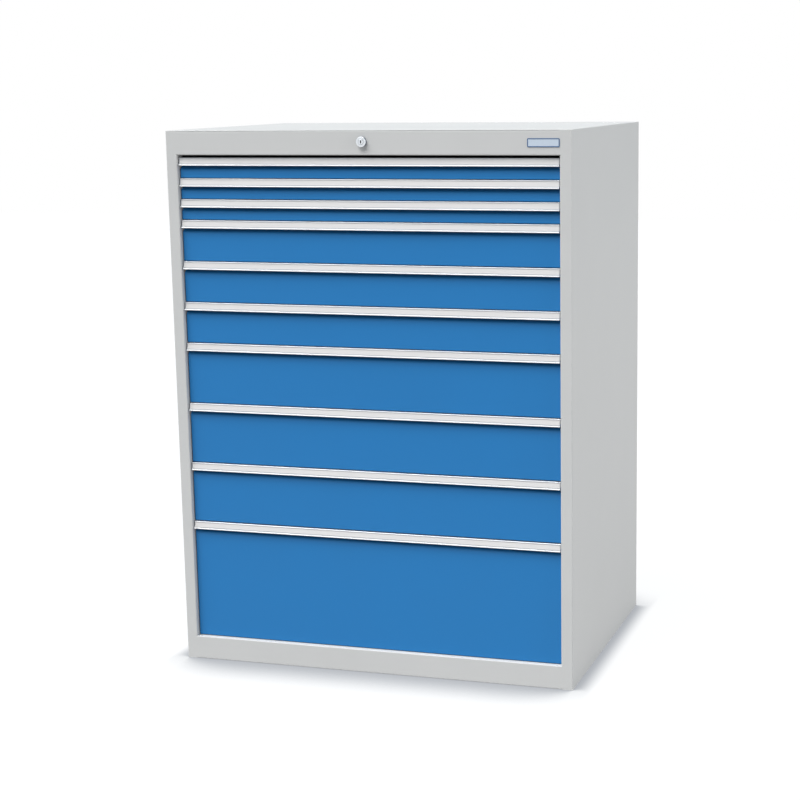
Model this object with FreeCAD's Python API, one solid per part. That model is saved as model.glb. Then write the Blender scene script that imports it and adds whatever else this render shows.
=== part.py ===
import FreeCAD, Part
import math
import os

# Floor-standing sheet-steel cabinet with ten full-width drawers on telescopic slides and a central lock.
# Millimetres. X runs to the right, Y to the back, Z up; the origin is on the floor, below the middle.

# Carcass: folded and welded sheet steel
cabinet_width = 1005.0
cabinet_depth = 736.0
slot_heights = [50.0, 50.0, 50.0, 100.0, 100.0, 100.0, 150.0, 150.0, 150.0, 300.0]  # top drawer first
plinth_height = 60.0        # floor to the foot of the lowest drawer slot
head_height = 60.0          # top of the highest slot to the top of the cabinet
head_gap = 2.0              # free height above the highest slot
sill_drop = 1.7             # sill below the lowest slot
sheet = 1.5                 # carcass sheet
fold_radius = 2.5           # outside radius of the carcass folds
stile_width = 28.0
jamb_depth = 30.0           # stile and rails are folded back this far round the opening
rear_return = 25.0          # side walls are folded in this far at the back
foot_return = 30.0          # and at the floor
top_flange = 20.0           # stiffening flanges under the top plate
top_edge = 0.9              # the top plate's edges are broken by this much
pan_flange = 25.0           # floor pan is folded down this far at its sides
back_sheet = 1.2
swage_depth = 6.0           # pressed stiffening grooves of the back wall
swage_width = 40.0
swage_offset = 200.0        # groove centres from the middle of the cabinet
swage_gap = 0.5             # floor pan's notches stand this far off the grooves

# Slotted uprights that carry the slides
upright_width = 40.0
upright_front = 13.0        # front upright stands this far behind the jamb
rail_tail = 26.0            # cabinet rails run on this far behind the rear upright
upright_head = 25.0         # uprights end this far below the top
raster = 50.0               # pitch of the slots
slot_length = 14.0
slot_width = 4.0

# Three-part telescopic slides
slide_thickness = 24.8
slide_height = 30.0
slide_rise = 14.0           # slot foot to slide foot
slide_sheet = 1.6
rail_gap = 0.4              # running gap between the rails, where the balls run
cabinet_rail_depth = 13.0
cabinet_rail_lip = 4.0
middle_rail_depth = 21.2
middle_rail_lip = 3.6
drawer_rail_lip = 2.0
slide_setback = 11.0        # slides start this far behind the jamb
cabinet_rail_overrun = 27.0  # cabinet rails run on this far behind the drawer rails
hook_width = 2.0
hook_height = 10.0
hook_depth = 5.0            # hooks of the cabinet rails reach this far through the uprights

# Drawers
front_side_gap = 2.5        # opening's edge to the drawer front
front_recess = 12.0         # frame's face to the drawer front's face
front_depth = 17.5
front_drop = 3.0            # drawer front reaches this far below its slot
front_gap = 1.2             # sill to the lowest drawer front
front_flange = 14.0         # flanges of the drawer front against the tray
drawer_sheet = 1.2
front_fold_radius = 2.0
finger_recess = 13.0        # drawer front is set back this far behind the handle's lip
finger_wall = 17.5          # height of the part that is set back
finger_slope = 8.2          # height of the slope below it
knee_radius = 6.0           # fold at the foot of the slope
rear_space = 104.1          # drawer back to the cabinet's back face
tray_rise = 2.2             # slot foot to the underside of the tray
tray_top_gap = 6.0          # tray's rim below its slot's top
tray_hem = 5.0              # side walls are folded in this far at the rim

# Handle strip: aluminium section with a label channel in its leaning lip
handle_drop = 4.4           # handle below its slot's top
handle_recess = 2.5         # frame's face to the handle's bead
handle_height = 19.2
handle_wall = 1.5
handle_leg = 15.0           # leg that stands on the drawer front
lip_thickness = 2.6
lip_lean = 3.0              # lip's top lies this far behind its foot
lip_edge = 0.7              # the lip's upper edge is broken by this much
label_top = 2.2             # lip's top edge to the label channel
label_height = 11.8
label_depth = 1.2
label_undercut = 0.7
label_keeper = 0.5          # thickness of the keepers that hold the label strip
bead_height = 2.8           # rolled bead at the lip's foot
bead_proud = 1.4            # in front of the lip
bead_back = 0.8             # and behind it

# Cylinder lock in the head rail
lock_drop = 27.0            # cabinet's top to the lock's axis
rosette_diameter = 24.0
rosette_height = 7.5
rosette_edge = 1.4
lock_body_diameter = 19.0
lock_body_length = 20.0
lock_hole_gap = 0.25        # round the lock body
nut_across_flats = 26.0
nut_thickness = 4.0
plug_diameter = 12.0
plug_gap = 0.3
plug_face = 0.5             # plug stands this far out of the rosette
key_slot_width = 2.6
key_slot_height = 7.0
key_slot_depth = 6.0
tail_width = 7.0
cam_thickness = 3.0
cam_width = 14.0
cam_corner = 4.0
cam_pin_diameter = 5.0
lock_travel = 13.0          # sideways travel of the locking bar, and throw of the cam's pin
yoke_lead = 2.8             # the pin runs ahead of the bar by this much half way through its turn
yoke_wall = 7.0
yoke_gap = 0.4

# Locking bar behind the left stile, with one finger for each drawer
bar_thickness = 3.0
bar_width = 10.0
crossbar_height = 14.0
bar_clearance = 0.6         # behind the jamb
bar_wall_gap = 2.0          # to the side wall
finger_rest_gap = 2.5       # finger's tip behind the opening's edge when unlocked
finger_rise = 3.0           # slot foot to the finger
finger_height = 9.0
catch_gap = 1.0             # finger to the drawer's catch
catch_rise = 4.0
catch_height = 7.0
catch_clearance = 2.5       # catch to the opening's edge
guide_sheet = 1.5
guide_gap = 0.4
guide_length = 22.0
guide_foot = 16.0
guide_places = (-150.0, -400.0)  # guides of the crossbar, along X
foot_guide_rise = 12.0      # foot guide above the floor pan
foot_guide_height = 20.0

# Nameplate on the head rail, left bare
plate_width = 76.0
plate_height = 20.0
plate_thickness = 1.2
plate_border = 2.2
plate_recess = 0.4
plate_drop = 29.5           # cabinet's top to the plate's middle

# Places that follow from the sizes above
slots_top = plinth_height + sum(slot_heights)
cabinet_height = slots_top + head_height
half_width = cabinet_width / 2
front_y = -cabinet_depth / 2
back_y = cabinet_depth / 2
opening_half = half_width - stile_width
opening_bottom = plinth_height - sill_drop
opening_top = slots_top + head_gap
jamb_y = front_y + jamb_depth
wall_x = half_width - sheet
top_z = cabinet_height - sheet
rail_end = opening_half + fold_radius
back_wall_y = back_y - sheet - back_sheet

slide_x = opening_half + sheet
tray_x = slide_x - slide_thickness
slide_y = jamb_y + slide_setback
tray_front_y = front_y + front_recess + front_depth
tray_back_y = back_y - rear_space
slide_length = tray_back_y - slide_y
upright_y = jamb_y + upright_front
rail_back_y = slide_y + slide_length + cabinet_rail_overrun
upright_rows = (upright_y, rail_back_y - rail_tail - upright_width)

front_half = opening_half - front_side_gap
front_face_y = front_y + front_recess
grip_y = front_face_y + finger_recess
handle_y = front_y + handle_recess

lock_z = cabinet_height - lock_drop
lock_back_y = front_y + sheet + lock_body_length
bar_y = jamb_y + bar_clearance
finger_tip_x = -slide_x - finger_rest_gap + sheet
bar_x = -wall_x + bar_wall_gap

parts_made = {}


def place_xy(a, b, c):
    """Point of an outline drawn in plan, at height c."""
    return FreeCAD.Vector(a, b, c)


def place_xz(a, b, c):
    """Point of an outline drawn from the front, at depth c."""
    return FreeCAD.Vector(a, c, b)


def place_yz(a, b, c):
    """Point of an outline drawn from the right, at distance c."""
    return FreeCAD.Vector(c, a, b)


def box(x0, x1, y0, y1, z0, z1):
    """Block between two corners."""
    corner = FreeCAD.Vector(min(x0, x1), min(y0, y1), min(z0, z1))
    return Part.makeBox(abs(x1 - x0), abs(y1 - y0), abs(z1 - z0), corner)


def rod(radius, x, z, y0, y1):
    """Round bar along Y."""
    return Part.makeCylinder(radius, y1 - y0, FreeCAD.Vector(x, y0, z), FreeCAD.Vector(0, 1, 0))


def rounded_face(points, radii, place, at):
    """Flat face inside an outline whose corners are rounded by their radii."""
    count = len(points)
    joints = []
    for i in range(count):
        here = place(points[i][0], points[i][1], at)
        before = place(points[i - 1][0], points[i - 1][1], at) - here
        after = place(points[(i + 1) % count][0], points[(i + 1) % count][1], at) - here
        half_angle = before.getAngle(after) / 2
        if radii[i] < 1e-6 or math.sin(half_angle) > 1 - 1e-9:
            joints.append((here, None, here))
            continue
        before.normalize()
        after.normalize()
        run = radii[i] / math.tan(half_angle)
        middle = before + after
        middle.normalize()
        reach = radii[i] / math.sin(half_angle) - radii[i]
        joints.append((here + before * run, here + middle * reach, here + after * run))
    edges = []
    for i in range(count):
        start, crown, end = joints[i]
        if crown is not None:
            edges.append(Part.Arc(start, crown, end).toShape())
        following = joints[(i + 1) % count][0]
        if end.distanceToPoint(following) > 1e-6:
            edges.append(Part.makeLine(end, following))
    return Part.Face(Part.Wire(edges))


def extruded(points, place, start, end, radii=None):
    """Outline drawn out from start to end, square to its plane."""
    face = rounded_face(points, radii or [0.0] * len(points), place, start)
    return face.extrude(place(0, 0, end) - place(0, 0, start))


def folded(path, thickness, side, place, start, end, radius=0.0, wide=None):
    """Folded sheet of one thickness, its folds rounded outside by radius.

    The path is one skin of the sheet; side is 1 where the metal lies left of the path, else -1.
    wide gives corners of the path a larger outside radius, and the same sheet thickness all round.
    """
    normals = []
    for (a0, b0), (a1, b1) in zip(path, path[1:]):
        length = math.hypot(a1 - a0, b1 - b0)
        normals.append((-(b1 - b0) / length * side, (a1 - a0) / length * side))
    inner = []
    skin_radii = []
    inner_radii = []
    for i, (a, b) in enumerate(path):
        before = normals[max(i - 1, 0)]
        after = normals[min(i, len(normals) - 1)]
        share = thickness / (1 + before[0] * after[0] + before[1] * after[1])
        inner.append((a + share * (before[0] + after[0]), b + share * (before[1] + after[1])))
        turn = (before[0] * after[1] - before[1] * after[0]) * side
        outside = (wide or {}).get(i, radius)
        inside = outside - thickness if i in (wide or {}) else 0.0
        skin_radii.append(outside if turn > 1e-9 else inside)
        inner_radii.append(outside if turn < -1e-9 else inside)
    return extruded(path + inner[::-1], place, start, end, skin_radii + inner_radii[::-1])


def joined(shapes):
    """One solid of pieces welded together."""
    whole = shapes[0].fuse(shapes[1:])
    return whole.removeSplitter()


def save(name, shapes):
    """Keep one sub-part, a single solid or a group of separate ones."""
    solids = [solid for shape in shapes for solid in shape.Solids]
    parts_made[name] = solids[0] if len(solids) == 1 else Part.makeCompound(solids)


def mirrored(shape):
    """The same piece on the other side of the cabinet."""
    return shape.mirror(FreeCAD.Vector(0, 0, 0), FreeCAD.Vector(1, 0, 0))


def slots():
    """Foot and top of each drawer slot, from the top drawer down."""
    top = slots_top
    for height in slot_heights:
        yield top - height, top
        top -= height


# Carcass ---------------------------------------------------------------------------------------------

def right_side_panel():
    """Side wall with the stile, its jamb and the rear and floor returns folded from one sheet."""
    skin = [
        (opening_half, jamb_y),
        (opening_half, front_y),
        (half_width, front_y),
        (half_width, back_y),
        (half_width - rear_return, back_y),
    ]
    wall = folded(skin, sheet, 1, place_xy, 0, top_z, fold_radius)
    foot = box(wall_x - foot_return, wall_x, jamb_y, back_wall_y, 0, sheet)
    wall = joined([wall, foot])
    for z0, z1 in ((0, opening_bottom), (opening_top, top_z)):
        wall = wall.cut(box(opening_half, rail_end, front_y, jamb_y, z0, z1))
    return wall


def top_panel():
    """Top plate with broken edges and a stiffening flange inside each side wall."""
    corners = [(-half_width, front_y), (half_width, front_y), (half_width, back_y), (-half_width, back_y)]
    plate = extruded(corners, place_xy, top_z, cabinet_height, [fold_radius] * 4)
    rim = [e for e in plate.Edges if e.BoundBox.ZMin > cabinet_height - 1e-6]
    plate = plate.makeChamfer(top_edge, rim)
    flange = box(wall_x - sheet, wall_x, slide_y, back_wall_y, top_z - top_flange, top_z)
    return joined([plate, flange, mirrored(flange)])


def head_rail():
    """Rail above the drawers, folded back at its top and foot, with the hole for the lock."""
    skin = [(jamb_y, opening_top), (front_y, opening_top), (front_y, top_z), (jamb_y, top_z)]
    rail = folded(skin, sheet, -1, place_yz, -rail_end, rail_end, fold_radius)
    hole = rod(lock_body_diameter / 2 + lock_hole_gap, 0, lock_z, front_y - sheet, front_y + 2 * sheet)
    return rail.cut(hole)


def plinth_rail():
    """Rail below the drawers; its upper fold is the sill."""
    skin = [(jamb_y, opening_bottom), (front_y, opening_bottom), (front_y, 0), (jamb_y, 0)]
    return folded(skin, sheet, 1, place_yz, -rail_end, rail_end, fold_radius)


def floor_pan():
    """Floor of the cabinet, folded down along both side walls and notched round the grooves behind it."""
    foot = opening_bottom - pan_flange
    skin = [(-wall_x, foot), (-wall_x, opening_bottom), (wall_x, opening_bottom), (wall_x, foot)]
    pan = folded(skin, sheet, -1, place_xz, jamb_y, back_wall_y)
    half = swage_width / 2 + swage_gap
    for middle in (-swage_offset, swage_offset):
        pan = pan.cut(box(middle - half, middle + half, back_wall_y - swage_depth - swage_gap,
                          back_wall_y, foot, opening_bottom))
    return pan


def back_wall():
    """Back wall with two pressed grooves from top to bottom."""
    skin = [(-wall_x, back_y - sheet)]
    for middle in (-swage_offset, swage_offset):
        for offset, depth in ((-swage_width / 2, 0), (-swage_width / 2 + swage_depth, swage_depth),
                              (swage_width / 2 - swage_depth, swage_depth), (swage_width / 2, 0)):
            skin.append((middle + offset, back_y - sheet - depth))
    skin.append((wall_x, back_y - sheet))
    return folded(skin, back_sheet, -1, place_xy, 0, top_z)


# Uprights and slides ---------------------------------------------------------------------------------

def hook_heights():
    """Heights of the slots in the uprights, one raster apart from the lowest slide's middle."""
    lowest = plinth_height + slide_rise + slide_height / 2
    height = lowest - math.floor((lowest - plinth_height - slot_length / 2) / raster) * raster
    while height < cabinet_height - upright_head - slot_length:
        yield height
        height += raster


def right_upright(y):
    """Slotted channel between floor pan and top, open towards the side wall."""
    skin = [(wall_x, y), (slide_x, y), (slide_x, y + upright_width), (wall_x, y + upright_width)]
    channel = folded(skin, sheet, -1, place_xy, opening_bottom, cabinet_height - upright_head)
    middle = y + upright_width / 2
    cuts = []
    for height in hook_heights():
        cuts.append(box(slide_x - sheet, slide_x + 2 * sheet, middle - slot_width / 2,
                        middle + slot_width / 2, height - slot_length / 2, height + slot_length / 2))
    return channel.cut(Part.makeCompound(cuts))


def right_rail(path, side, middle_z, length):
    """Slide rail from its section, given as inward distance and height from the slide's middle."""
    skin = [(slide_x - inward, middle_z + rise) for inward, rise in path]
    return folded(skin, slide_sheet, side, place_xz, slide_y, slide_y + length)


def cabinet_rail(middle_z):
    """Outer rail, hooked into both uprights."""
    half = slide_height / 2
    lip = half - cabinet_rail_lip
    path = [(cabinet_rail_depth, lip), (cabinet_rail_depth, half), (0, half),
            (0, -half), (cabinet_rail_depth, -half), (cabinet_rail_depth, -lip)]
    rail = right_rail(path, -1, middle_z, rail_back_y - slide_y)
    hooks = []
    for y in upright_rows:
        middle = y + upright_width / 2
        hooks.append(box(slide_x, slide_x + hook_depth, middle - hook_width / 2, middle + hook_width / 2,
                         middle_z - hook_height / 2, middle_z + hook_height / 2))
    return joined([rail] + hooks)


def middle_rail(middle_z):
    """Middle rail: its web runs inside the cabinet rail, its lips hold the drawer rail."""
    web = slide_sheet + rail_gap
    wide = slide_height / 2 - slide_sheet - rail_gap
    step = cabinet_rail_depth - slide_sheet - rail_gap
    narrow = slide_height / 2 - cabinet_rail_lip - rail_gap
    half = [(middle_rail_depth, narrow - middle_rail_lip), (middle_rail_depth, narrow),
            (step, narrow), (step, wide), (web, wide)]
    path = half + [(inward, -rise) for inward, rise in half[::-1]]
    return right_rail(path, -1, middle_z, slide_length)


def drawer_rail(middle_z):
    """Inner rail, fixed on the drawer's side, its flanges held by the middle rail's lips."""
    mouth = slide_height / 2 - cabinet_rail_lip - rail_gap - middle_rail_lip - rail_gap
    held = middle_rail_depth - slide_sheet - rail_gap
    half = [(held, mouth + drawer_rail_lip), (held, mouth), (slide_thickness, mouth)]
    path = half + [(inward, -rise) for inward, rise in half[::-1]]
    return right_rail(path, 1, middle_z, slide_length)


# Drawers ---------------------------------------------------------------------------------------------

def tray(foot, top):
    """Drawer body: folded floor and sides, front and rear walls, both drawer rails and the lock's catch."""
    floor_z = foot + tray_rise
    rim = top - tray_top_gap
    half = [(tray_x - tray_hem, rim), (tray_x, rim), (tray_x, floor_z)]
    path = half + [(-x, z) for x, z in half[::-1]]
    pan = folded(path, drawer_sheet, -1, place_xz, tray_front_y, tray_back_y)
    inside = tray_x - drawer_sheet
    wall_foot = floor_z + drawer_sheet
    front_wall = box(-inside, inside, tray_front_y, tray_front_y + drawer_sheet, wall_foot, rim - drawer_sheet)
    rear_wall = box(-inside, inside, tray_back_y - drawer_sheet, tray_back_y, wall_foot, rim - drawer_sheet)
    rail = drawer_rail(foot + slide_rise + slide_height / 2)
    catch_y = bar_y + bar_thickness + catch_gap
    catch = box(-opening_half + catch_clearance, -tray_x, catch_y, catch_y + bar_thickness,
                foot + catch_rise, foot + catch_rise + catch_height)
    return joined([pan, front_wall, rear_wall, rail, mirrored(rail), catch])


def drawer_front(foot, top):
    """Front pan with a finger recess behind the handle's lip; its flanges lie on the tray's front wall."""
    low = max(foot - front_drop, opening_bottom + front_gap)
    high = top - handle_drop - handle_wall
    crest = high - finger_wall
    knee = crest - finger_slope
    outline = [(tray_front_y, low), (front_face_y, low), (front_face_y, knee),
               (grip_y, crest), (grip_y, high), (tray_front_y, high)]
    skin = [(tray_front_y, low + front_flange)] + outline + [(tray_front_y, high - front_flange)]
    folds = {1: 0.0, 3: knee_radius, 5: 0.0, 6: 0.0}
    pan = folded(skin, drawer_sheet, -1, place_yz, -front_half, front_half, front_fold_radius, folds)
    inset = drawer_sheet / 2
    back = tray_front_y - inset
    cheek = [(back, low + inset), (front_face_y + inset, low + inset), (front_face_y + inset, knee),
             (grip_y + inset, crest), (grip_y + inset, high - inset), (back, high - inset)]
    radii = [0.0, 0.0, knee_radius - inset, 0.0, 0.0, 0.0]
    end_plate = extruded(cheek, place_yz, front_half - drawer_sheet, front_half, radii)
    return joined([pan, end_plate, mirrored(end_plate)])


def handle(top):
    """Handle strip: web and leg on the drawer front, leaning lip with label channel and rolled bead."""
    z1 = top - handle_drop
    web_z = z1 - handle_wall
    lip_foot = z1 - handle_height
    bead_top = lip_foot + bead_height
    face_y = handle_y + bead_proud
    back_face_y = face_y + lip_thickness
    channel_y = face_y + label_depth
    keeper_y = face_y + label_keeper
    mouth_top = z1 - label_top
    mouth_foot = mouth_top - label_height
    lip = [
        (back_face_y, web_z), (back_face_y, bead_top),
        (back_face_y + bead_back, bead_top), (back_face_y + bead_back, lip_foot),
        (handle_y, lip_foot), (handle_y, bead_top), (face_y, bead_top),
        (face_y, mouth_foot), (keeper_y, mouth_foot),
        (keeper_y, mouth_foot - label_undercut), (channel_y, mouth_foot - label_undercut),
        (channel_y, mouth_top + label_undercut), (keeper_y, mouth_top + label_undercut),
        (keeper_y, mouth_top), (face_y, mouth_top), (face_y, z1 - lip_edge), (face_y + lip_edge, z1),
    ]
    leaning = [(y + lip_lean * (z - lip_foot) / handle_height, z) for y, z in lip]
    leg_y = grip_y - handle_wall
    web = [(tray_front_y, z1), (tray_front_y, web_z), (grip_y, web_z),
           (grip_y, z1 - handle_leg), (leg_y, z1 - handle_leg), (leg_y, web_z)]
    radii = [0.0] * len(web) + [bead_height / 2 - 0.05 if y == handle_y else 0.0 for y, z in lip]
    return extruded(web + leaning, place_yz, -front_half, front_half, radii)


# Lock ------------------------------------------------------------------------------------------------

def lock_housing():
    """Lock body through the head rail, with its round rosette and the bore for the plug."""
    radius = rosette_diameter / 2
    rosette = rod(radius, 0, lock_z, front_y - rosette_height, front_y)
    edge = [e for e in rosette.Edges if e.BoundBox.YMax < front_y - rosette_height + 1e-6]
    rosette = rosette.makeChamfer(rosette_edge, edge)
    body = rod(lock_body_diameter / 2, 0, lock_z, front_y, lock_back_y)
    bore = rod(plug_diameter / 2 + plug_gap, 0, lock_z, front_y - 2 * rosette_height, lock_back_y + sheet)
    return joined([rosette, body]).cut(bore)


def lock_nut():
    """Hexagon nut that clamps the lock body from behind."""
    corner = nut_across_flats / math.sqrt(3)
    points = [(corner * math.cos(math.radians(60 * i)), lock_z + corner * math.sin(math.radians(60 * i)))
              for i in range(6)]
    inner_y = front_y + sheet
    nut = extruded(points, place_xz, inner_y, inner_y + nut_thickness)
    return nut.cut(rod(lock_body_diameter / 2 + lock_hole_gap, 0, lock_z, inner_y - sheet,
                       inner_y + 2 * nut_thickness))


def lock_plug():
    """Plug with the key slot in its face and a square tail for the cam."""
    face_y = front_y - rosette_height - plug_face
    plug = rod(plug_diameter / 2, 0, lock_z, face_y, lock_back_y)
    half_tail = tail_width / 2
    tail = box(-half_tail, half_tail, lock_back_y, lock_back_y + plug_gap + cam_thickness,
               lock_z - half_tail, lock_z + half_tail)
    key_slot = box(-key_slot_width / 2, key_slot_width / 2, face_y - sheet, face_y + key_slot_depth,
                   lock_z - key_slot_height / 2, lock_z + key_slot_height / 2)
    return joined([plug, tail]).cut(key_slot)


def lock_cam():
    """Cam on the plug's tail, with the pin that drives the crossbar."""
    cam_y = lock_back_y + plug_gap
    half = cam_width / 2
    points = [(-half, lock_z - half), (half, lock_z - half),
              (half, lock_z + lock_travel + half), (-half, lock_z + lock_travel + half)]
    plate = extruded(points, place_xz, cam_y, cam_y + cam_thickness, [cam_corner] * 4)
    half_tail = tail_width / 2
    plate = plate.cut(box(-half_tail, half_tail, cam_y - sheet, cam_y + 2 * cam_thickness,
                          lock_z - half_tail, lock_z + half_tail))
    pin = rod(cam_pin_diameter / 2, 0, lock_z + lock_travel, cam_y + cam_thickness, bar_y)
    return joined([plate, pin])


def lock_crossbar():
    """Crossbar behind the head rail; its yoke is driven by the cam's pin."""
    y0 = bar_y - bar_thickness
    half = crossbar_height / 2
    pin_reach = cam_pin_diameter / 2 + yoke_gap
    strip = box(bar_x, pin_reach + yoke_lead + yoke_wall, y0, bar_y, lock_z - half, lock_z + half)
    yoke = box(-pin_reach - yoke_wall, pin_reach + yoke_lead + yoke_wall, y0, bar_y,
               lock_z - half, lock_z + lock_travel + pin_reach + yoke_wall / 2)
    window = box(-pin_reach, pin_reach + yoke_lead, y0 - sheet, bar_y + sheet,
                 lock_z - pin_reach, lock_z + lock_travel + pin_reach)
    return joined([strip, yoke]).cut(window)


def lock_bar():
    """Upright bar on the crossbar's end, with a finger in front of each drawer's catch."""
    y1 = bar_y + bar_thickness
    foot = opening_bottom + foot_guide_rise / 2
    strip = box(bar_x, bar_x + bar_width, bar_y, y1, foot, lock_z + crossbar_height / 2)
    fingers = []
    for slot_foot, slot_top in slots():
        z = slot_foot + finger_rise
        fingers.append(box(bar_x + bar_width, finger_tip_x, bar_y, y1, z, z + finger_height))
    return joined([strip] + fingers)


def crossbar_guide(x):
    """Bracket on the head rail's lower fold, round the crossbar from below, in front and above."""
    low = lock_z - crossbar_height / 2 - guide_gap
    high = lock_z + crossbar_height / 2 + guide_gap
    leg_y = bar_y - bar_thickness - guide_gap
    floor_z = opening_top + sheet
    x0 = x - guide_length / 2
    x1 = x + guide_length / 2
    foot = box(x0, x1, leg_y - guide_foot, leg_y, floor_z, floor_z + guide_sheet)
    leg = box(x0, x1, leg_y - guide_sheet, leg_y, floor_z, high + guide_sheet)
    hood = box(x0, x1, leg_y, bar_y, high, high + guide_sheet)
    shelf = box(x0, x1, leg_y, bar_y, low - guide_sheet, low)
    return joined([foot, leg, hood, shelf])


def foot_guide():
    """Channel on the side wall that holds the foot of the locking bar from front and back."""
    z0 = opening_bottom + foot_guide_rise
    tip_x = bar_x + bar_width
    web_x = -wall_x + guide_sheet
    inner = [(tip_x, bar_y - guide_gap), (web_x, bar_y - guide_gap),
             (web_x, bar_y + bar_thickness + guide_gap), (tip_x, bar_y + bar_thickness + guide_gap)]
    return folded(inner, guide_sheet, 1, place_xy, z0, z0 + foot_guide_height)


def nameplate():
    """Bare plate with a raised border, level with the opening's right edge."""
    x0 = opening_half - plate_width
    z0 = cabinet_height - plate_drop - plate_height / 2
    plate = box(x0, opening_half, front_y - plate_thickness, front_y, z0, z0 + plate_height)
    field = box(x0 + plate_border, opening_half - plate_border, front_y - plate_thickness - sheet,
                front_y - plate_thickness + plate_recess, z0 + plate_border, z0 + plate_height - plate_border)
    return plate.cut(field)


# The whole cabinet -----------------------------------------------------------------------------------

side = right_side_panel()
save("right_side_panel", [side])
save("left_side_panel", [mirrored(side)])
save("top_panel", [top_panel()])
save("head_rail", [head_rail()])
save("plinth_rail", [plinth_rail()])
save("floor_pan", [floor_pan()])
save("back_wall", [back_wall()])
uprights = [right_upright(y) for y in upright_rows]
save("slotted_uprights", uprights + [mirrored(upright) for upright in uprights])

right_rails = []
for number, (foot, top) in enumerate(slots(), start=1):
    name = f"drawer_{number:02d}"
    middle_z = foot + slide_rise + slide_height / 2
    right_rails.append(cabinet_rail(middle_z))
    middle = middle_rail(middle_z)
    save(f"{name}_middle_rails", [middle, mirrored(middle)])
    save(f"{name}_tray", [tray(foot, top)])
    save(f"{name}_front", [drawer_front(foot, top)])
    save(f"{name}_handle", [handle(top)])
save("right_cabinet_rails", right_rails)
save("left_cabinet_rails", [mirrored(rail) for rail in right_rails])

save("lock_housing", [lock_housing()])
save("lock_nut", [lock_nut()])
save("lock_plug", [lock_plug()])
save("lock_cam", [lock_cam()])
save("lock_crossbar", [lock_crossbar()])
save("lock_bar", [lock_bar()])
save("lock_guides", [crossbar_guide(x) for x in guide_places] + [foot_guide()])
save("nameplate", [nameplate()])

os.makedirs("parts", exist_ok=True)
for name, shape in parts_made.items():
    shape.exportStep(f"parts/{name}.step")
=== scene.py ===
import math

import bmesh
import bpy
from mathutils import Matrix, Vector


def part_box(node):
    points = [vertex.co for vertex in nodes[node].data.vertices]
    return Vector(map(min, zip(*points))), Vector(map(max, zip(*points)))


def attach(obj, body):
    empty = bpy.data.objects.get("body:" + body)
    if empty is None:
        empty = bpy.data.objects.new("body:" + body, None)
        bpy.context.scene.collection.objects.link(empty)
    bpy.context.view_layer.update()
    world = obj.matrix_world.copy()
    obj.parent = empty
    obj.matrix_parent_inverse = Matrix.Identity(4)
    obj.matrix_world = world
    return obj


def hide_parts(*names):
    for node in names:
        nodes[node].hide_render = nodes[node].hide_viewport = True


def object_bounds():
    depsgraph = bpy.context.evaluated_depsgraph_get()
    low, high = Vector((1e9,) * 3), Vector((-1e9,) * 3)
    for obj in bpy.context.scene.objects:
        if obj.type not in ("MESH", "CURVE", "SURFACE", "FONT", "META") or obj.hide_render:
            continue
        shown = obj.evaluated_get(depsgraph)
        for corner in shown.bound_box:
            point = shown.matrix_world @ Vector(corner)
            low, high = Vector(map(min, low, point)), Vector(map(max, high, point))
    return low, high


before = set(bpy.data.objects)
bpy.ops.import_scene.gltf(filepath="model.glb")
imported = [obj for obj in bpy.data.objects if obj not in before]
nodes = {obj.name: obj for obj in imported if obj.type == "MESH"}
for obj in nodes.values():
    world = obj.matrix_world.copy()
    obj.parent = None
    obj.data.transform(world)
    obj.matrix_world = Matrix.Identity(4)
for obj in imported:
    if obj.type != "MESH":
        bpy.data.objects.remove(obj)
cad_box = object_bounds()


# Carcass ---------------------------------------------------------------------------------------------
# Side walls, top plate, head and plinth rails, floor pan and back wall: folded and welded sheet steel.
# They are sprayed together with light grey powder and baked, which leaves a fine, even orange peel.

def tone(red, green, blue):
    """A colour given as on a paint chart, 0 to 255, in the linear values that shaders use."""
    parts = []
    for value in (red, green, blue):
        share = value / 255
        parts.append(share / 12.92 if share <= 0.04045 else ((share + 0.055) / 1.055) ** 2.4)
    return (*parts, 1.0)


def put(tree, kind, inputs=None, **settings):
    """One node of a tree, with its settings and its inputs, each a value or the socket that feeds it."""
    node = tree.nodes.new(kind)
    for field, value in settings.items():
        setattr(node, field, value)
    for socket, value in (inputs or {}).items():
        if isinstance(value, bpy.types.NodeSocket):
            tree.links.new(value, node.inputs[socket])
        else:
            node.inputs[socket].default_value = value
    return node


def blank_finish(name, **constants):
    """A new material: its node tree, its shader with the constant values set, and object coordinates."""
    material = bpy.data.materials.new(name)
    material.use_nodes = True
    tree = material.node_tree
    shader = tree.nodes["Principled BSDF"]
    for socket, value in constants.items():
        shader.inputs[socket.replace("_", " ")].default_value = value
    place = put(tree, "ShaderNodeTexCoord").outputs["Object"]
    return material, tree, shader, place


def noise(tree, place, scale, detail):
    """An irregular pattern from 0 to 1; the scale is in patches per metre."""
    pattern = put(tree, "ShaderNodeTexNoise", {"Vector": place, "Scale": scale, "Detail": detail})
    return pattern.outputs["Fac"]


def between(tree, factor, low, high):
    """A number that follows a pattern from low to high."""
    spread = put(tree, "ShaderNodeMapRange", {"Value": factor, "To Min": low, "To Max": high})
    return spread.outputs["Result"]


def mixed(tree, factor, first, second):
    """The first colour where the factor is 0 and the second where it is 1."""
    return put(tree, "ShaderNodeMix", {0: factor, 6: first, 7: second}, data_type="RGBA").outputs[2]


def shaded(tree, factor, colour, change):
    """A colour that a pattern makes a little darker or lighter."""
    dark = [c * (1 - change) for c in colour[:3]] + [1.0]
    light = [min(c * (1 + change), 1.0) for c in colour[:3]] + [1.0]
    return mixed(tree, factor, dark, light)


def embossed(tree, shader, height, strength, distance):
    """Let a pattern stand out of the surface; the distance is its full height in metres."""
    relief = put(tree, "ShaderNodeBump", {"Height": height, "Strength": strength, "Distance": distance})
    tree.links.new(relief.outputs["Normal"], shader.inputs["Normal"])


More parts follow.
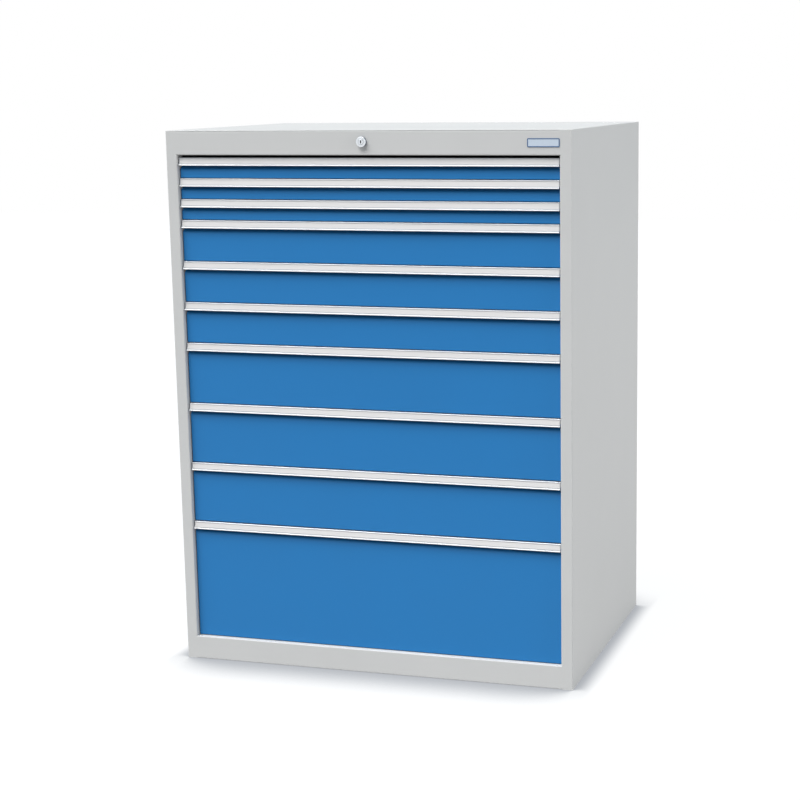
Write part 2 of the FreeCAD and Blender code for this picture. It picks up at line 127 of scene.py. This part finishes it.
def sprayed(tree, shader, place):
    """Orange peel of baked powder; gives the wide, faint clouds of its colour."""
    peel = noise(tree, place, scale=520.0, detail=3.0)
    embossed(tree, shader, peel, strength=0.25, distance=0.00015)
    return noise(tree, place, scale=7.0, detail=4.0)


def powder_coat(name, colour, gloss):
    """Baked powder coat."""
    material, tree, shader, place = blank_finish(name, Specular_IOR_Level=gloss)
    clouds = sprayed(tree, shader, place)
    tree.links.new(shaded(tree, clouds, colour, change=0.03), shader.inputs["Base Color"])
    tree.links.new(between(tree, clouds, low=0.45, high=0.55), shader.inputs["Roughness"])
    return material


def finish_node(name, material):
    """Give one sub-part of the cabinet its finish."""
    part = nodes[name]
    part.data.materials.clear()
    part.data.materials.append(material)


grey_coat = powder_coat("light_grey_powder_coat", tone(201, 201, 200), gloss=0.3)
for name in ("right_side_panel", "left_side_panel", "top_panel", "head_rail", "plinth_rail", "floor_pan",
             "back_wall"):
    finish_node(name, grey_coat)


# Slotted uprights ------------------------------------------------------------------------------------
# Four channels of galvanised sheet, welded to the side walls from the floor pan up; the slides hook in.
# Hot-dip zinc shows its crystals as faint patches, a few millimetres wide.

def maths(tree, operation, *values, clamp=False):
    """Result of one calculation; its values are numbers or sockets."""
    node = put(tree, "ShaderNodeMath", dict(enumerate(values)), operation=operation, use_clamp=clamp)
    return node.outputs[0]


def galvanised(name):
    """Zinc-coated sheet with its crystals."""
    material, tree, shader, place = blank_finish(name, Metallic=1.0)
    crystals = put(tree, "ShaderNodeTexVoronoi", {"Vector": place, "Scale": 170.0}).outputs["Color"]
    patch = put(tree, "ShaderNodeSeparateColor", {"Color": crystals}).outputs["Red"]
    bloom = maths(tree, "MULTIPLY", patch, noise(tree, place, scale=30.0, detail=5.0))
    tree.links.new(shaded(tree, bloom, tone(196, 200, 204), change=0.12), shader.inputs["Base Color"])
    tree.links.new(between(tree, patch, low=0.34, high=0.5), shader.inputs["Roughness"])
    return material


zinc_sheet = galvanised("galvanised_sheet")
for name in ("slotted_uprights", "lock_guides"):
    finish_node(name, zinc_sheet)


# Telescopic slides -----------------------------------------------------------------------------------
# Three nested steel rails on each side of each drawer, roll-formed and bright zinc plated.
# The outer ones are hooked into the uprights. The rollers leave fine lines along the rails.

def lined(tree, place, scales, detail):
    """Fine lines along one axis, from a pattern with its own scale along X, Y and Z."""
    along = put(tree, "ShaderNodeMapping", {"Vector": place, "Scale": scales}).outputs[0]
    return noise(tree, along, scale=1.0, detail=detail)


def drawn_zinc(name, colour):
    """Bright zinc plate over lines that run front to back."""
    material, tree, shader, place = blank_finish(name, Metallic=1.0)
    lines = lined(tree, place, scales=(900.0, 5.0, 900.0), detail=4.0)
    film = noise(tree, place, scale=22.0, detail=3.0)
    tree.links.new(shaded(tree, film, colour, change=0.06), shader.inputs["Base Color"])
    tree.links.new(between(tree, lines, low=0.22, high=0.4), shader.inputs["Roughness"])
    embossed(tree, shader, lines, strength=0.3, distance=0.0001)
    return material


zinc_colour = tone(206, 209, 214)
bright_zinc = drawn_zinc("bright_zinc_rails", zinc_colour)
drawers = sorted(name.removesuffix("_front") for name in nodes if name.endswith("_front"))
slide_nodes = ["right_cabinet_rails", "left_cabinet_rails"]
slide_nodes += [drawer + "_middle_rails" for drawer in drawers]
for name in slide_nodes:
    finish_node(name, bright_zinc)


# Drawer bodies ---------------------------------------------------------------------------------------
# Trays of 1.2 mm sheet, folded at the sides, powder-coated grey; the drawer rails on their sides and the
# lock's catch are left in bright zinc.

def coated_tray(name, rails_from):
    """Grey powder coat, and bright zinc on all that lies farther out along X than the given place."""
    material, tree, shader, place = blank_finish(name, Specular_IOR_Level=0.3)
    clouds = sprayed(tree, shader, place)
    sideways = put(tree, "ShaderNodeSeparateXYZ", {"Vector": place}).outputs["X"]
    rail = maths(tree, "GREATER_THAN", maths(tree, "ABSOLUTE", sideways), rails_from)
    coat = shaded(tree, clouds, tone(190, 191, 192), change=0.03)
    zinc = shaded(tree, clouds, zinc_colour, change=0.06)
    tree.links.new(mixed(tree, rail, coat, zinc), shader.inputs["Base Color"])
    tree.links.new(rail, shader.inputs["Metallic"])
    tree.links.new(between(tree, rail, low=0.5, high=0.32), shader.inputs["Roughness"])
    return material


coat_reach = 0.4513     # from the middle of the cabinet to just outside the tray's side
tray_coat = coated_tray("tray_coat_and_rails", coat_reach)
for drawer in drawers:
    finish_node(drawer + "_tray", tray_coat)


# Drawer fronts ---------------------------------------------------------------------------------------
# Shallow pans of folded sheet, powder-coated blue. Their flanges lie on the trays' front walls, and each
# is set back at its top, where the fingers reach in behind the handle strip.

blue_coat = powder_coat("blue_powder_coat", tone(14, 115, 180), gloss=0.5)
for drawer in drawers:
    finish_node(drawer + "_front", blue_coat)


# Handle strips ---------------------------------------------------------------------------------------
# One extruded aluminium section across each drawer, satin anodised; its lip is gripped from below.
# The extrusion's fine lines run along the strip.

def satin_anodised(name):
    """Anodised aluminium with lines that run from side to side."""
    material, tree, shader, place = blank_finish(name, Metallic=1.0)
    lines = lined(tree, place, scales=(6.0, 1400.0, 1400.0), detail=3.0)
    tree.links.new(shaded(tree, lines, tone(203, 203, 204), change=0.03), shader.inputs["Base Color"])
    tree.links.new(between(tree, lines, low=0.42, high=0.55), shader.inputs["Roughness"])
    embossed(tree, shader, lines, strength=0.2, distance=0.0001)
    return material


anodised = satin_anodised("satin_anodised_aluminium")
for drawer in drawers:
    finish_node(drawer + "_handle", anodised)


# Label strips ----------------------------------------------------------------------------------------
# A blank strip of coated card for each drawer, a little shorter than the handle strip. It is slid into
# the strip's channel from one end and held by the channel's keepers.

def coated_card(name):
    """Card with a smooth coating; its fibres show as faint mottling."""
    material, tree, shader, place = blank_finish(name, Specular_IOR_Level=0.4)
    fibres = noise(tree, place, scale=260.0, detail=5.0)
    tree.links.new(shaded(tree, fibres, tone(217, 215, 214), change=0.02), shader.inputs["Base Color"])
    tree.links.new(between(tree, fibres, low=0.4, high=0.5), shader.inputs["Roughness"])
    return material


def block(name, low, high, material, bevel=0.0):
    """A block between two corners, its edges broken by the bevel."""
    mesh = bpy.data.meshes.new(name)
    shape = bmesh.new()
    size = Vector(high) - Vector(low)
    middle = (Vector(high) + Vector(low)) / 2
    place = Matrix.Translation(middle) @ Matrix.Diagonal((*size, 1.0))
    bmesh.ops.create_cube(shape, size=1.0, matrix=place)
    if bevel:
        bmesh.ops.bevel(shape, geom=shape.edges[:], offset=bevel, segments=2, affect="EDGES", profile=0.5)
    shape.to_mesh(mesh)
    shape.free()
    mesh.materials.append(material)
    piece = bpy.data.objects.new(name, mesh)
    bpy.context.scene.collection.objects.link(piece)
    return piece


card = coated_card("white_card")
label_top = 0.0017      # handle's top edge to the card's
label_height = 0.0128
label_back = 0.0025     # bead's front to the card's back, at the lip's foot
label_thickness = 0.0005
label_bevel = 0.0001
label_end = 0.0015      # the card stops this far inside the strip's ends
lip_lean = 0.003        # the lip's top lies this far behind its foot
lip_height = 0.0192
for drawer in drawers:
    low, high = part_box(drawer + "_handle")
    back = low[1] + label_back
    top = high[2] - label_top
    label = block(drawer + "_label", (low[0] + label_end, back - label_thickness, top - label_height),
                  (high[0] - label_end, back, top), card, label_bevel)
    for corner in label.data.vertices:
        corner.co.y += lip_lean * (corner.co.z - low[2]) / lip_height
    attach(label, drawer)


# Drawer rivets ---------------------------------------------------------------------------------------
# Steel rivets that hold the slides' inner rails on the drawer's sides; their domed heads show inside the
# drawer and in the rails. Each is pressed through both sheets, six on each side.

def rivet_rows(name):
    """Tree for two straight rows of rivets, one on each side of the drawer."""
    tree = bpy.data.node_groups.new(name, "GeometryNodeTree")
    tree.interface.new_socket("Rivets", in_out="OUTPUT", socket_type="NodeSocketGeometry")
    for label, kind in (("Count", "Int"), ("Pitch", "Float"), ("Side", "Float"), ("Front", "Float"),
                        ("Height", "Float"), ("Head Radius", "Float"), ("Head Height", "Float"),
                        ("Grip", "Float"), ("Metal", "Material")):
        tree.interface.new_socket(label, in_out="INPUT", socket_type="NodeSocket" + kind)
    given = put(tree, "NodeGroupInput").outputs
    ball = put(tree, "GeometryNodeMeshUVSphere", {"Segments": 12, "Rings": 6, "Radius": 1.0}).outputs[0]
    point = put(tree, "GeometryNodeInputPosition").outputs[0]
    axes = put(tree, "ShaderNodeSeparateXYZ", {"Vector": point}).outputs
    across = maths(tree, "MULTIPLY", axes["X"], given["Head Radius"])
    along = maths(tree, "MULTIPLY", axes["Y"], given["Head Radius"])
    half_grip = maths(tree, "MULTIPLY", given["Grip"], 0.5)
    shank = maths(tree, "MULTIPLY", maths(tree, "SIGN", axes["Z"]), half_grip)
    dome = maths(tree, "MULTIPLY_ADD", axes["Z"], given["Head Height"], shank)
    place = put(tree, "ShaderNodeCombineXYZ", {"X": across, "Y": along, "Z": dome}).outputs[0]
    rivet = put(tree, "GeometryNodeSetPosition", {"Geometry": ball, "Position": place}).outputs[0]
    both = put(tree, "GeometryNodeJoinGeometry")
    step = put(tree, "ShaderNodeCombineXYZ", {"Y": given["Pitch"]}).outputs[0]
    for hand in (1.0, -1.0):
        wall = maths(tree, "MULTIPLY", given["Side"], hand)
        first = put(tree, "ShaderNodeCombineXYZ", {"X": wall, "Y": given["Front"],
                                                   "Z": given["Height"]}).outputs[0]
        row = put(tree, "GeometryNodeMeshLine", {"Count": given["Count"], "Start Location": first,
                                                 "Offset": step}).outputs[0]
        set_in = put(tree, "GeometryNodeInstanceOnPoints", {"Points": row, "Instance": rivet,
                                                            "Rotation": (0.0, math.pi / 2, 0.0)}).outputs[0]
        tree.links.new(set_in, both.inputs[0])
    solid = put(tree, "GeometryNodeRealizeInstances", {0: both.outputs[0]}).outputs[0]
    smooth = put(tree, "GeometryNodeSetShadeSmooth", {0: solid}).outputs[0]
    plated = put(tree, "GeometryNodeSetMaterial", {"Geometry": smooth, "Material": given["Metal"]})
    put(tree, "NodeGroupOutput", {"Rivets": plated.outputs[0]})
    return tree


def grown(name, tree, **sizes):
    """One plain mesh from a tree; a size's name is its input's, with _ for each space."""
    piece = bpy.data.objects.new(name, bpy.data.meshes.new(name))
    bpy.context.scene.collection.objects.link(piece)
    pattern = piece.modifiers.new(name, "NODES")
    pattern.node_group = tree
    for socket in tree.interface.items_tree:
        if socket.in_out == "INPUT":
            pattern[socket.identifier] = sizes[socket.name.replace(" ", "_")]
    mesh = bpy.data.meshes.new_from_object(piece.evaluated_get(bpy.context.evaluated_depsgraph_get()))
    piece.modifiers.clear()
    piece.data = mesh
    return piece


rivet_pattern = rivet_rows("rivet_rows")
rivet_count = 6
rivet_pitch = 0.108
rivet_setback = 0.038       # tray's front wall to the first rivet
rivet_rise = 0.0268         # tray's underside to the rivets
rivet_head_radius = 0.00275
rivet_head_height = 0.0008
tray_wall_inside = 0.4500   # middle of the cabinet to the drawer's inner wall
wall_and_rail = 0.0028      # thickness of the tray's side and the rail together
for drawer in drawers:
    low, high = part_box(drawer + "_tray")
    rivets = grown(drawer + "_rivets", rivet_pattern, Count=rivet_count, Pitch=rivet_pitch,
                   Side=tray_wall_inside + wall_and_rail / 2, Front=low[1] + rivet_setback,
                   Height=low[2] + rivet_rise, Head_Radius=rivet_head_radius,
                   Head_Height=rivet_head_height, Grip=wall_and_rail, Metal=bright_zinc)
    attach(rivets, drawer)


# Lock ------------------------------------------------------------------------------------------------
# A cylinder lock, clamped in the head rail by a nut: a turned rosette with a threaded body, and the plug
# with the key slot. The faces are satin chrome; the rosette's flank and the key slot are painted a dark
# tone that stands in for their shade.

def chrome_with_painted_shade(name, depth, behind):
    """Satin chrome on the face, and a dark tone painted as shade on the metal that lies deeper than the
    given place.
    """
    material, tree, shader, place = blank_finish(name, Metallic=1.0)
    traces = noise(tree, place, scale=900.0, detail=4.0)
    inwards = put(tree, "ShaderNodeSeparateXYZ", {"Vector": place}).outputs["Y"]
    in_painted_shade = maths(tree, "GREATER_THAN", inwards, depth)
    face = shaded(tree, traces, tone(242, 243, 245), change=0.02)
    # Painted shade: the deeper metal gets a dark tone in place of its shadow.
    dark = shaded(tree, traces, behind, change=0.05)
    tree.links.new(mixed(tree, in_painted_shade, face, dark), shader.inputs["Base Color"])
    tree.links.new(between(tree, traces, low=0.4, high=0.5), shader.inputs["Roughness"])
    return material


def rounded_edge(radius, y, size, steps=6):
    """Quarter round at a turned piece's front edge, as points of radius and depth."""
    turns = [math.pi / 2 * i / steps for i in range(steps + 1)]
    return [(radius - size + size * math.sin(turn), y + size - size * math.cos(turn)) for turn in turns]


def finished(name, shape, materials, sharp=32.0):
    """Object of a bmesh, shaded smooth but for the edges that turn by more degrees than sharp."""
    for face in shape.faces:
        face.smooth = True
    mesh = bpy.data.meshes.new(name)
    shape.to_mesh(mesh)
    shape.free()
    mesh.set_sharp_from_angle(angle=math.radians(sharp))
    for material in materials:
        mesh.materials.append(material)
    piece = bpy.data.objects.new(name, mesh)
    bpy.context.scene.collection.objects.link(piece)
    return piece


def turned(name, outline, middle, material, hollow=False, segments=96):
    """A piece turned about an axis along Y; its outline is given as radius and depth."""
    shape = bmesh.new()
    rings = []
    for radius, y in outline:
        ring = []
        for i in range(segments):
            angle = 2 * math.pi * i / segments
            place = (middle[0] + radius * math.cos(angle), y, middle[2] + radius * math.sin(angle))
            ring.append(shape.verts.new(place))
        rings.append(ring)
    for near, far in zip(rings, rings[1:] + rings[:1] if hollow else rings[1:]):
        for i in range(segments):
            shape.faces.new((near[i - 1], near[i], far[i], far[i - 1]))
    if not hollow:
        shape.faces.new(rings[0])
        shape.faces.new(rings[-1])
    bmesh.ops.recalc_face_normals(shape, faces=shape.faces[:])
    return finished(name, shape, [material])


def worked(piece, operation, tool):
    """Join a second shape to a piece, or cut it away, and drop that second shape."""
    cut = piece.modifiers.new("work", "BOOLEAN")
    cut.operation = operation
    cut.object = tool
    cut.solver = "EXACT"
    mesh = bpy.data.meshes.new_from_object(piece.evaluated_get(bpy.context.evaluated_depsgraph_get()))
    piece.modifiers.clear()
    piece.data = mesh
    bpy.data.objects.remove(tool)


rail_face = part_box("head_rail")[0][1]
low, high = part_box("lock_housing")
middle = (low + high) / 2
lock_back = high[1]
rosette_radius = (high[0] - low[0]) / 2
rosette_rounding = 0.0009
rosette_painted_shade_depth = 0.0008   # the flank is painted dark as shade from here on
bore_radius = 0.0063
bore_edge = 0.0005
body_radius = 0.0095
thread_pitch = 0.001
thread_depth = 0.0005
thread_start = 0.003        # head rail's face to the first turn of the thread
section = [(bore_radius, low[1] + bore_edge), (bore_radius + bore_edge, low[1])]
section += rounded_edge(rosette_radius, low[1], rosette_rounding)
section += [(rosette_radius, rail_face), (body_radius, rail_face)]
turn_y = rail_face + thread_start
while turn_y + thread_pitch < lock_back:
    section += [(body_radius, turn_y), (body_radius - thread_depth, turn_y + thread_pitch / 2)]
    turn_y += thread_pitch
section += [(body_radius - thread_depth, lock_back), (bore_radius, lock_back)]
# The rosette's flank is painted a dark blue-grey as its shade.
rosette_chrome = chrome_with_painted_shade("satin_chrome_rosette", low[1] + rosette_painted_shade_depth, tone(84, 98, 120))
rosette = turned("lock_rosette", section, middle, rosette_chrome, hollow=True)
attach(rosette, "cabinet")
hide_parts("lock_housing")

low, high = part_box("lock_plug")
plug_radius = (high[0] - low[0]) / 2
plug_rounding = 0.0004
plug_painted_shade_depth = 0.0005      # the key slot is painted dark as shade from here on
key_slot_half = 0.0013
key_slot_rise = 0.0035
key_slot_depth = 0.006
key_slot_bevel = 0.0003
tail_half = 0.0035
tail_grip = 0.006               # the square tail reaches this far into the plug
tail_bevel = 0.0002
section = rounded_edge(plug_radius, low[1], plug_rounding) + [(plug_radius, lock_back)]
# The key slot is painted near black as its shade.
plug_chrome = chrome_with_painted_shade("satin_chrome_plug", low[1] + plug_painted_shade_depth, tone(22, 27, 38))
plug = turned("lock_plug_face", section, middle, plug_chrome)
key_slot = block("key_slot", (-key_slot_half, low[1] - key_slot_depth, middle[2] - key_slot_rise),
                 (key_slot_half, low[1] + key_slot_depth, middle[2] + key_slot_rise), plug_chrome,
                 key_slot_bevel)
worked(plug, "DIFFERENCE", key_slot)
tail = block("tail", (-tail_half, lock_back - tail_grip, middle[2] - tail_half),
             (tail_half, high[1], middle[2] + tail_half), plug_chrome, tail_bevel)
worked(plug, "UNION", tail)
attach(plug, "lock_cylinder")
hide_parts("lock_plug")
for name in ("lock_nut", "lock_cam", "lock_crossbar", "lock_bar"):
    finish_node(name, bright_zinc)


# Nameplate -------------------------------------------------------------------------------------------
# A small bare plate on the head rail, pressed from sheet with a raised border and rounded corners.
# The border is enamelled blue and the field pale.

def enamel(name, colour):
    """Baked enamel, slightly mottled."""
    material, tree, shader, place = blank_finish(name, Specular_IOR_Level=0.5)
    mottle = noise(tree, place, scale=300.0, detail=3.0)
    tree.links.new(shaded(tree, mottle, colour, change=0.04), shader.inputs["Base Color"])
    tree.links.new(between(tree, mottle, low=0.3, high=0.4), shader.inputs["Roughness"])
    return material


def rounded_ring(shape, middle, half_width, half_height, corner, y, steps=6):
    """Corners of a rounded rectangle that stands upright at depth y."""
    ring = []
    for quarter, (side, rise) in enumerate(((1, 1), (-1, 1), (-1, -1), (1, -1))):
        for i in range(steps + 1):
            angle = math.pi / 2 * (quarter + i / steps)
            x = middle[0] + side * (half_width - corner) + corner * math.cos(angle)
            z = middle[2] + rise * (half_height - corner) + corner * math.sin(angle)
            ring.append(shape.verts.new((x, y, z)))
    return ring


low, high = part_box("nameplate")
middle = (low + high) / 2
plate_corner = 0.0026
plate_border = 0.0023
plate_recess = 0.0004
plate_edge = 0.0003
steps_inwards = [(0.0, high[1]), (0.0, low[1] + plate_edge), (plate_edge, low[1]),
                 (plate_border - plate_edge, low[1]), (plate_border, low[1] + plate_recess)]
shape = bmesh.new()
rings = []
for inset, y in steps_inwards:
    half_width = (high[0] - low[0]) / 2 - inset
    half_height = (high[2] - low[2]) / 2 - inset
    corner = max(plate_corner - inset, plate_edge)
    rings.append(rounded_ring(shape, middle, half_width, half_height, corner, y))
for near, far in zip(rings, rings[1:]):
    for i in range(len(near)):
        shape.faces.new((near[i - 1], near[i], far[i], far[i - 1]))
shape.faces.new(rings[0])
field = shape.faces.new(rings[-1])
field.material_index = 1
bmesh.ops.recalc_face_normals(shape, faces=shape.faces[:])
plate = finished("bare_nameplate", shape, [enamel("blue_border_enamel", tone(72, 102, 140)),
                                           enamel("pale_field_enamel", tone(196, 208, 222))])
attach(plate, "cabinet")
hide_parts("nameplate")


# Floor and light -------------------------------------------------------------------------------------
# A white floor with a painted shade close to the cabinet, and a pale surround that lights the cabinet
# evenly.
# Two broad suns shine from the upper left in front, a low one from the right, a weak one from behind.

def only_seen(tree):
    """1 for what the camera sees, straight or in a gloss, and 0 for light that falls on the cabinet."""
    path = put(tree, "ShaderNodeLightPath").outputs
    seen = maths(tree, "MAXIMUM", path["Is Camera Ray"], path["Is Glossy Ray"])
    seen = maths(tree, "MAXIMUM", seen, path["Is Transmission Ray"])
    return maths(tree, "SUBTRACT", seen, path["Diffuse Depth"], clamp=True)


def eased(tree, value, start, end):
    """0 up to the start, 1 from the end on and a soft change in between."""
    ramp = put(tree, "ShaderNodeMapRange", {"Value": value, "From Min": start, "From Max": end},
               interpolation_type="SMOOTHSTEP")
    return ramp.outputs["Result"]


floor_reach = 14.0
floor_z = -0.0003           # just below the cabinet's foot
cover_distance = 0.24       # what stands farther from a spot of the floor doesn't shade it
full_shade = 0.5            # open share of the space over a spot at which its shade is full
no_shade = 0.94             # and at which it has ended
side_shade = 0.055          # width of the shade beside the cabinet
floor_mesh = bpy.data.meshes.new("floor")
corners = [(x * floor_reach, y * floor_reach, floor_z) for x, y in ((-1, -1), (1, -1), (1, 1), (-1, 1))]
floor_mesh.from_pydata(corners, [], [(0, 1, 2, 3)])
floor = bpy.data.objects.new("floor", floor_mesh)
bpy.context.scene.collection.objects.link(floor)
paper = bpy.data.materials.new("white_floor")
paper.use_nodes = True
tree = paper.node_tree
tree.nodes.clear()
cover = put(tree, "ShaderNodeAmbientOcclusion", {"Distance": cover_distance}, samples=24)
uncovered = eased(tree, cover.outputs["AO"], full_shade, no_shade)
place = put(tree, "ShaderNodeTexCoord").outputs["Object"]
sideways = put(tree, "ShaderNodeSeparateXYZ", {"Vector": place}).outputs["X"]
cabinet_side = cad_box[1][0]
beside = eased(tree, maths(tree, "ABSOLUTE", sideways), cabinet_side, cabinet_side + side_shade)
lit = maths(tree, "MAXIMUM", uncovered, beside)
# Painted shade: grey-blue where the cabinet covers the floor, white where the floor is open.
ground_and_painted_shade = mixed(tree, lit, tone(168, 172, 178), (0.96, 0.97, 0.98, 1.0))
# Seen of the floor: a glow, painted with a shade near the cabinet, and a little of the shadows that fall on
# it.
glow_and_painted_shade = put(tree, "ShaderNodeEmission", {"Color": ground_and_painted_shade, "Strength": 1.0}).outputs[0]
shadows = put(tree, "ShaderNodeBsdfDiffuse", {"Color": (0.06, 0.06, 0.06, 1.0)}).outputs[0]
floor_seen = put(tree, "ShaderNodeAddShader", {0: glow_and_painted_shade, 1: shadows}).outputs[0]
# What the floor throws back on the cabinet: an even glow, with a little of the suns' light.
glow = put(tree, "ShaderNodeEmission", {"Color": (1.0, 1.0, 1.0, 1.0), "Strength": 0.42}).outputs[0]
sunlit = put(tree, "ShaderNodeBsdfDiffuse", {"Color": (0.12, 0.12, 0.12, 1.0)}).outputs[0]
thrown_back = put(tree, "ShaderNodeAddShader", {0: glow, 1: sunlit}).outputs[0]
whole = put(tree, "ShaderNodeMixShader", {0: only_seen(tree), 1: thrown_back, 2: floor_seen}).outputs[0]
put(tree, "ShaderNodeOutputMaterial", {"Surface": whole})
floor_mesh.materials.append(paper)

world = bpy.data.worlds.new("surround")
bpy.context.scene.world = world
world.use_nodes = True
tree = world.node_tree
tree.nodes.clear()
# Plain white behind the cabinet, a cool tone in its gloss, and a dimmer one as the light from all round.
white = put(tree, "ShaderNodeBackground", {"Color": (1.0, 1.0, 1.0, 1.0), "Strength": 1.0}).outputs[0]
in_gloss = put(tree, "ShaderNodeBackground", {"Color": (0.82, 0.92, 1.0, 1.0), "Strength": 0.6}).outputs[0]
sky = put(tree, "ShaderNodeBackground", {"Color": (0.86, 0.94, 1.0, 1.0), "Strength": 0.35}).outputs[0]
around = put(tree, "ShaderNodeMixShader", {0: only_seen(tree), 1: sky, 2: in_gloss}).outputs[0]
straight = put(tree, "ShaderNodeLightPath").outputs["Is Camera Ray"]
surround = put(tree, "ShaderNodeMixShader", {0: straight, 1: around, 2: white}).outputs[0]
put(tree, "ShaderNodeOutputWorld", {"Surface": surround})


def soft_sun(name, azimuth, elevation, strength, spread, glossy=True):
    """Distant soft light; azimuth 0 stands in front of the cabinet and 90 to its right.

    A light that isn't glossy leaves no highlight.
    """
    lamp = bpy.data.lights.new(name, "SUN")
    lamp.energy = strength * math.pi
    lamp.angle = math.radians(spread)
    light = bpy.data.objects.new(name, lamp)
    bpy.context.scene.collection.objects.link(light)
    turn = math.radians(azimuth)
    rise = math.radians(elevation)
    towards = Vector((math.sin(turn) * math.cos(rise), -math.cos(turn) * math.cos(rise), math.sin(rise)))
    light.rotation_euler = towards.to_track_quat("Z", "Y").to_euler()
    light.visible_glossy = glossy


soft_sun("key_left", azimuth=-58.0, elevation=52.0, strength=0.61, spread=34.0)
soft_sun("key_front", azimuth=-24.0, elevation=62.0, strength=0.67, spread=30.0)
soft_sun("fill", azimuth=88.0, elevation=6.0, strength=0.53, spread=40.0)
soft_sun("rear", azimuth=-170.0, elevation=2.0, strength=0.3, spread=20.0, glossy=False)


# Camera ----------------------------------------------------------------------------------------------
# A long lens, in front of the cabinet and a little to its right, just above its top. The lens is shifted,
# which moves the picture without turning the camera.

lens = bpy.data.cameras.new("camera")
lens.sensor_width = 36.0
lens.lens = 80.331
lens.shift_x = -0.10875
lens.shift_y = 0.03531
camera = bpy.data.objects.new("camera", lens)
bpy.context.scene.collection.objects.link(camera)
camera.matrix_world = Matrix(((0.958594, -0.044001, 0.281356, 1.47636),
                              (0.284573, 0.185290, -0.940577, -4.31287),
                              (-0.010746, 0.981698, 0.190140, 1.42522),
                              (0.0, 0.0, 0.0, 1.0)))
bpy.context.scene.camera = camera
bpy.context.scene.view_settings.view_transform = "Standard"
